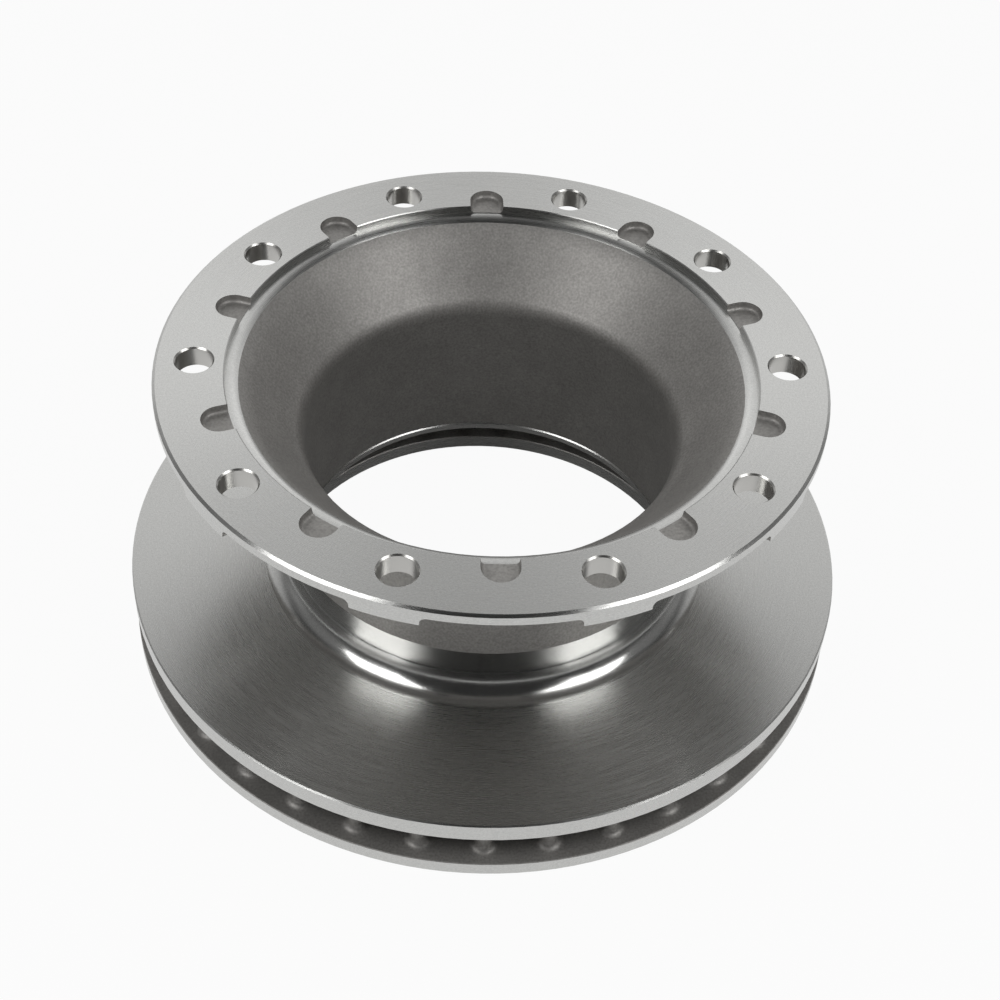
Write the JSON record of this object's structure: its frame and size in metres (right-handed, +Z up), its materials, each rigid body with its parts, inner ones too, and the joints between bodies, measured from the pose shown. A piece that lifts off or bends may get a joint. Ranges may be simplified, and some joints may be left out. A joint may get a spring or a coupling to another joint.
{
  "type": "brake disc",
  "caption": "Ventilated brake disc for a heavy axle: a vaned double friction ring, a deep waisted hat and a wide bolt flange with cast recesses and a register bore",
  "frame": {"origin": "centre of the free friction face, on the axle's axis, at the lowest point of the part", "axes": "+Z runs up the axle's axis from the free friction face to the flange face; +X passes through a bolt hole"},
  "size_m": [0.43, 0.4298, 0.186],
  "materials": {
    "iron": "turned on the friction faces, neck, rims and flange, with as-cast skin between"
  },
  "bodies": {
    "root": {"brake_disc": "iron"}
  },
  "joints": []
}
